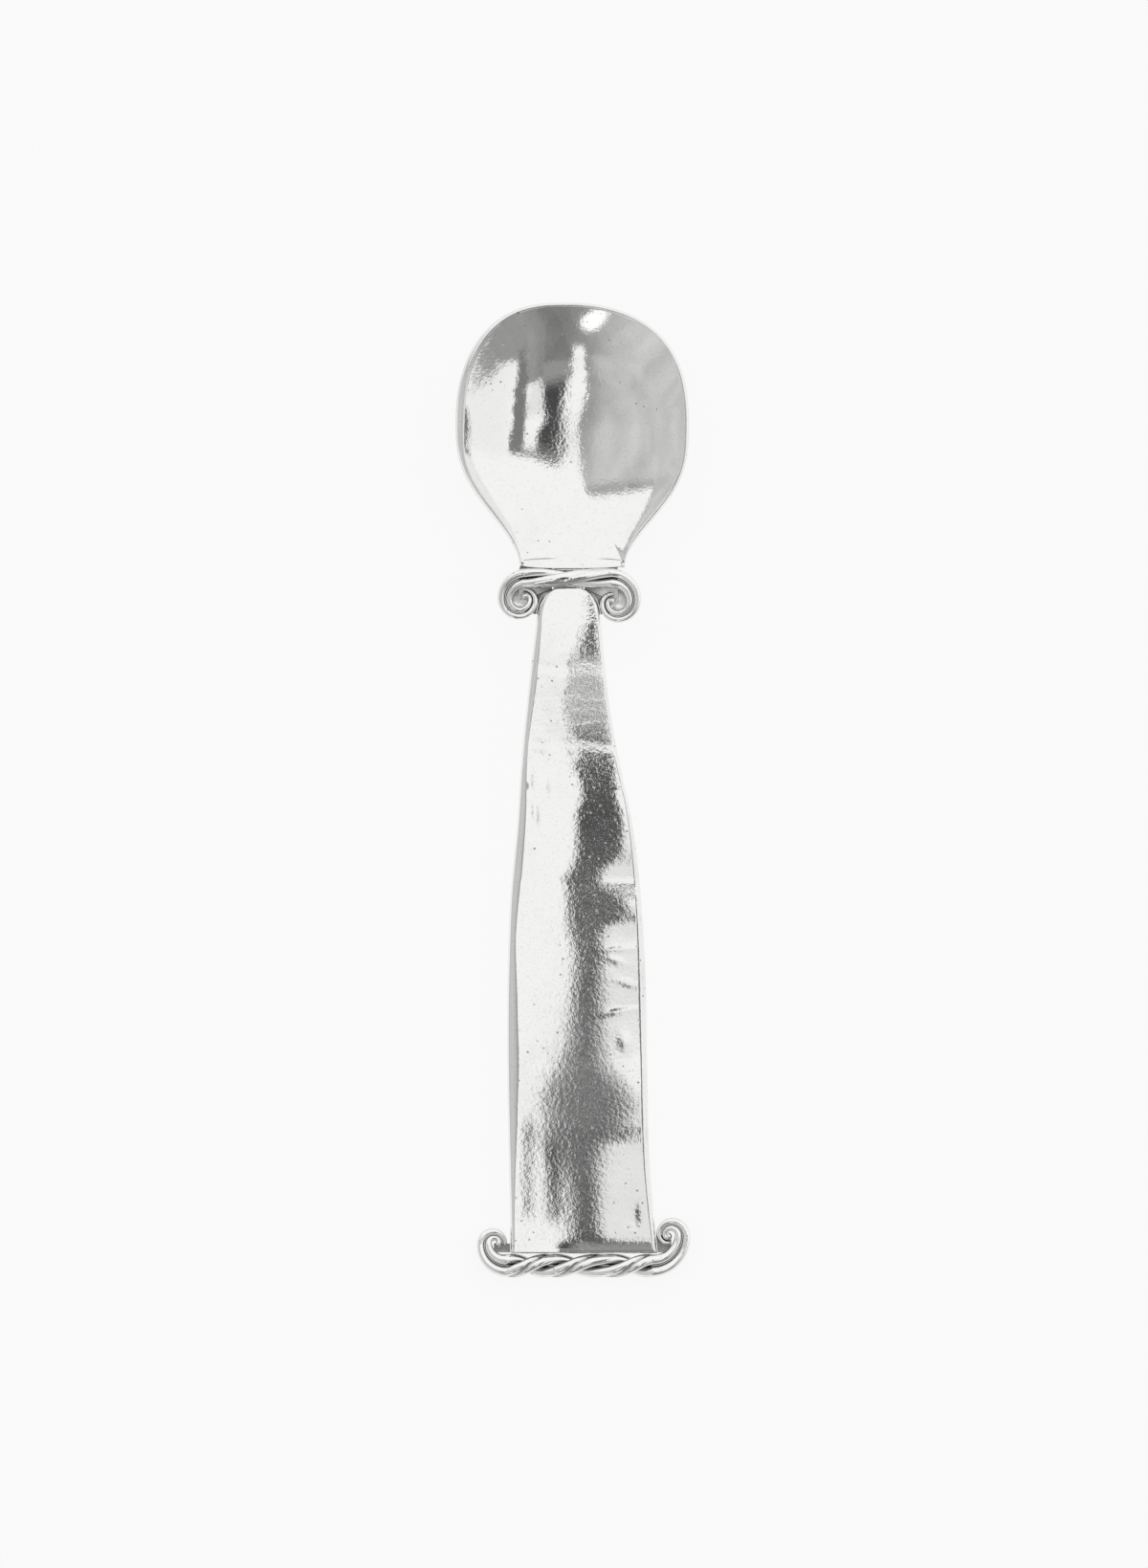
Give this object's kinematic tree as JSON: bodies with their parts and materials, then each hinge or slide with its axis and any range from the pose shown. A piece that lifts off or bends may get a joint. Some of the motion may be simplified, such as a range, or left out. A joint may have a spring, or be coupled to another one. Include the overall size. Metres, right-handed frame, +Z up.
{
  "type": "sugar spoon",
  "caption": "Sugar spoon with a round dished bowl, a flat tapered handle and twisted-wire ropes that end in scrolls at the neck and foot.",
  "frame": {"origin": "on the table plane under the middle of the spoon's bounding box", "axes": "+Y along the spoon towards the bowl's tip, +X to the right seen from above, +Z up out of the bowl"},
  "size_m": [0.0362, 0.15, 0.008],
  "materials": {
    "bowl_metal": "polished cast pewter with fine pits",
    "handle_metal": "polished cast pewter with a fine hammered grain",
    "wire_metal": "polished pewter wire, darker in the grooves",
    "solder": "dull grey soft solder",
    "polished_solder": "polished soft solder"
  },
  "bodies": {
    "root": {"bowl": "bowl_metal", "handle": "handle_metal", "neck_wire_a": "wire_metal", "neck_wire_b": "wire_metal", "foot_wire_a": "wire_metal", "foot_wire_b": "wire_metal", "bowl_seam_solder": "polished_solder", "neck_solder_webs": "solder", "foot_solder_webs": "solder"}
  },
  "joints": []
}
